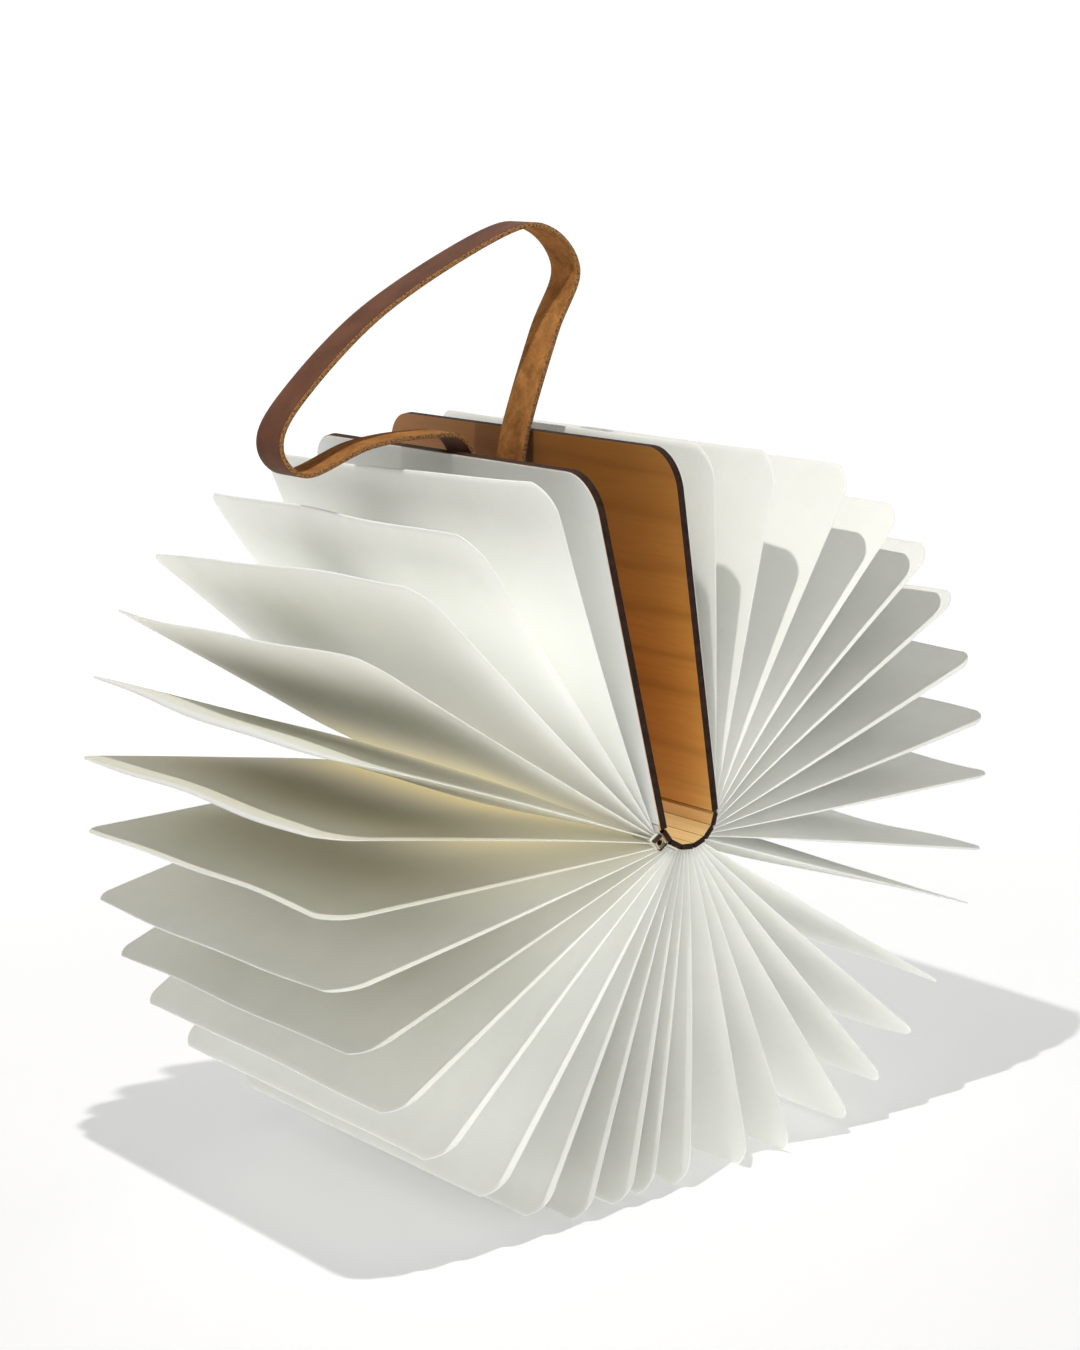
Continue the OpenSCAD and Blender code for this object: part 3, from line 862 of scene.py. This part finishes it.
def strap_section():
    """The strap's cross-section as (across, out) pairs, with rounded corners."""
    w, t, r = STRAP_HALF_WIDTH, STRAP_HALF_THICKNESS, STRAP_ROUND
    cut = r * (1 - math.sin(math.radians(45)))
    points = []
    for side in (1, -1):
        across = [-w + r + (2 * w - 2 * r) * n / STRAP_ACROSS for n in range(STRAP_ACROSS + 1)]
        if side < 0:
            across.reverse()
        points += [(a, t * side) for a in across]
        points += [(side * (w - cut), side * (t - cut)), (side * w, side * (t - r))]
        points += [(side * w, -side * (t - r)), (side * (w - cut), -side * (t - cut))]
    return points


def make_strap():
    """The leather strap: smooth outside, suede inside, with raw cut edges."""
    line = smooth_line(strap_route(), STRAP_STEPS)
    section = strap_section()
    count = len(section)
    vertices, faces = [], []
    for n, p in enumerate(line):
        ahead = (line[min(n + 1, len(line) - 1)] - line[max(n - 1, 0)]).normalized()
        inward = Vector((-ahead.z, 0, ahead.x))
        for across, out in section:
            place = p - inward * out
            vertices.append((place.x, across, place.z))
    smooth, suede, cut = range(3)
    round_section = []
    for (_, out), (_, next_out) in zip(section, section[1:] + section[:1]):
        middle = (out + next_out) / 2
        flat = abs(middle) > STRAP_HALF_THICKNESS - 0.01 * MM
        round_section.append((smooth if middle > 0 else suede) if flat else cut)
    faces += bands(len(line), count)
    kinds = round_section * (len(line) - 1) + [cut, cut]
    for first in (0, (len(line) - 1) * count):
        faces.append(tuple(range(first, first + count)))
    leathers = [smooth_leather(), suede_leather(), cut_leather()]
    strap = new_mesh("strap_leather", vertices, faces, leathers, kinds)
    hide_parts("strap")
    ride_strap(strap, True)


def ride_strap(piece, flattens):
    """Rides the strap's body, which follows the right cover. A piece that flattens gets its own
    copy of its mesh."""
    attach(piece, "strap")
    if flattens:
        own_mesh(piece)


def make_peg(name, corner, angle, wood_side, peg_material, flattens):
    """A magnet peg: a round button with a rounded rim, between a cover's wood and the strap."""
    foot = beside(corner, angle, wood_side, PEG_INSET, 0)
    axis, side = in_plane(wood_side), in_plane(angle)
    vertices = []
    for share, height in PEG_PROFILE:
        for n in range(PEG_TURNS):
            a = 2 * math.pi * n / PEG_TURNS
            place = foot + (axis * height + side * PEG_RADIUS * share * math.cos(a)) * MM
            vertices.append((place.x, PEG_RADIUS * share * math.sin(a) * MM, place.z))
    peg = new_mesh(name, vertices, list(bands(len(PEG_PROFILE), PEG_TURNS)), [peg_material])
    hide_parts("strap_pegs")
    ride_strap(peg, flattens)


# ---------------------------------------------------------------- scene

def assign(node, material):
    data = NODES[node].data
    data.materials.clear()
    data.materials.append(material)


# How much painted light pales each slat's wood; the middle ones lie where the photograph's U is
# brightest
SLAT_PAINTED_LIGHT = {1: 0.75, 2: 0.95, 3: 1.0, 4: 1.0, 5: 0.95, 6: 0.6}


def shade_cad():
    """Materials for the CAD solids that are seen as they are."""
    assign("cover_left", wood_material("wood_left", in_plane(LEFT_WOOD),
                                       hinge=HINGES[0], along=in_plane(LEFT_COVER)))
    assign("cover_right", wood_material("wood_right", in_plane(RIGHT_WOOD),
                                        hinge=HINGES[6], along=in_plane(RIGHT_COVER)))
    for k, painted_light in SLAT_PAINTED_LIGHT.items():
        along = plate_direction(k)
        face = Vector((-along.z, 0, along.x))
        assign(f"slat_{k}", wood_material(f"wood_slat_{k}", face, painted_light=painted_light))
    assign("port_housing", housing_material())
    assign("charging_socket", socket_material())
    foil = plain_material("battery_foil", (0.42, 0.43, 0.45), (0.62, 0.63, 0.65), 0.35, 160,
                          metallic=0.8)
    assign("battery", foil)
    board = plain_material("led_board", (0.75, 0.68, 0.45), (0.88, 0.82, 0.62), 0.4, 400)
    nickel = plain_material("nickel", (0.55, 0.55, 0.57), (0.72, 0.72, 0.74), 0.25, 500,
                            metallic=1.0)
    for side in ("left", "right"):
        assign(f"led_board_{side}", board)
        assign(f"cover_magnet_{side}", nickel)


def add_soft_parts(paper):
    """The pieces drawn here in place of plain CAD solids."""
    leaves = [Leaf(number) for number in range(1, LEAVES + 1)]
    for before, leaf, after in zip([None] + leaves, leaves, leaves[1:] + [None]):
        leaf.measure_gaps(before, after)
        make_leaf(leaf, paper)
    make_end_sheet("left", HINGES[0], LEFT_COVER, LEFT_PAGES, paper)
    make_end_sheet("right", HINGES[6], RIGHT_COVER, RIGHT_PAGES, paper)
    for k in range(1, 7):
        make_roots(k, paper)
    cloth = cloth_material()
    for k in range(len(HINGES)):
        make_cloth(k, cloth)
    make_strap()
    brown = plain_material("peg_plastic", (0.035, 0.016, 0.008), (0.085, 0.040, 0.020), 0.45, 500)
    make_peg("peg_left", LEFT_CORNER, LEFT_COVER, LEFT_WOOD, brown, True)
    make_peg("peg_right", RIGHT_CORNER, RIGHT_COVER, RIGHT_WOOD, brown, False)


# A small lamp about a metre above the floor, which casts a wide shadow with a clear edge
LAMP_PLACE = Vector((-0.20, -0.22, 1.10))
LAMP_POWER = 20
LAMP_RADIUS = 0.012
# The white world's strength as light; the camera sees it at full strength
AMBIENT = 0.37
FLOOR_HALF = 14.0
# The floor's own glow near the lamp and far from it, and between which distances it rises
FLOOR_GLOW = 0.20
FLOOR_GLOW_FAR = 0.70
FLOOR_GLOW_REACH = (0.30, 1.35)
# What the floor glows more where neither the camera nor a reflection sees it
FLOOR_BOUNCE = 0.25


def add_floor():
    """A white floor. Its own glow rises away from the lamp, so that the backdrop stays white."""
    mesh = bpy.data.meshes.new("floor")
    corners = [(x * FLOOR_HALF, y * FLOOR_HALF, 0) for x, y in ((-1, -1), (1, -1), (1, 1), (-1, 1))]
    mesh.from_pydata(corners, [], [(0, 1, 2, 3)])
    floor = bpy.data.objects.new("floor", mesh)
    bpy.context.scene.collection.objects.link(floor)
    s = Shader("floor_white", roughness=0.9, specular=0.0)
    s.color((0.97, 0.97, 0.975))
    reach = s.node("VectorMath")
    reach.operation = "LENGTH"
    s.put(reach.inputs[0], s.place(offset=(-LAMP_PLACE.x, -LAMP_PLACE.y, 0)))
    rise = s.remap(reach.outputs["Value"], *FLOOR_GLOW_REACH, FLOOR_GLOW, FLOOR_GLOW_FAR)
    s.bsdf.inputs["Emission Color"].default_value = (1, 1, 1, 1)
    paths = s.node("LightPath")
    seen = s.math("MAXIMUM", paths.outputs["Is Camera Ray"], paths.outputs["Is Glossy Ray"])
    bounce = s.math("MULTIPLY", s.math("SUBTRACT", 1.0, seen), FLOOR_BOUNCE)
    s.put(s.bsdf.inputs["Emission Strength"], s.math("ADD", rise, bounce))
    mesh.materials.append(s.material)


def add_light():
    """A white world, which lights the scene less than the camera and reflections see, and a
    small lamp above."""
    world = bpy.data.worlds.new("world")
    bpy.context.scene.world = world
    world.use_nodes = True
    tree = world.node_tree
    background = tree.nodes["Background"]
    output = tree.nodes["World Output"]
    white = tree.nodes.new("ShaderNodeBackground")
    background.inputs["Color"].default_value = (1.0, 1.0, 1.0, 1)
    background.inputs["Strength"].default_value = AMBIENT
    white.inputs["Color"].default_value = (1, 1, 1, 1)
    white.inputs["Strength"].default_value = 1.0
    paths = tree.nodes.new("ShaderNodeLightPath")
    chosen = tree.nodes.new("ShaderNodeMixShader")
    seen = tree.nodes.new("ShaderNodeMath")
    seen.operation = "MAXIMUM"
    tree.links.new(paths.outputs["Is Camera Ray"], seen.inputs[0])
    tree.links.new(paths.outputs["Is Glossy Ray"], seen.inputs[1])
    tree.links.new(seen.outputs[0], chosen.inputs["Fac"])
    tree.links.new(background.outputs[0], chosen.inputs[1])
    tree.links.new(white.outputs[0], chosen.inputs[2])
    tree.links.new(chosen.outputs[0], output.inputs["Surface"])
    light = bpy.data.lights.new("lamp_above", "POINT")
    light.energy = LAMP_POWER
    light.shadow_soft_size = LAMP_RADIUS
    light.color = (1.0, 0.985, 0.965)
    lamp = bpy.data.objects.new("lamp_above", light)
    bpy.context.scene.collection.objects.link(lamp)
    lamp.location = LAMP_PLACE


bpy.context.scene.view_settings.view_transform = "Standard"
add_camera()
sheet = paper_material()
shade_cad()
add_soft_parts(sheet)
add_floor()
add_light()
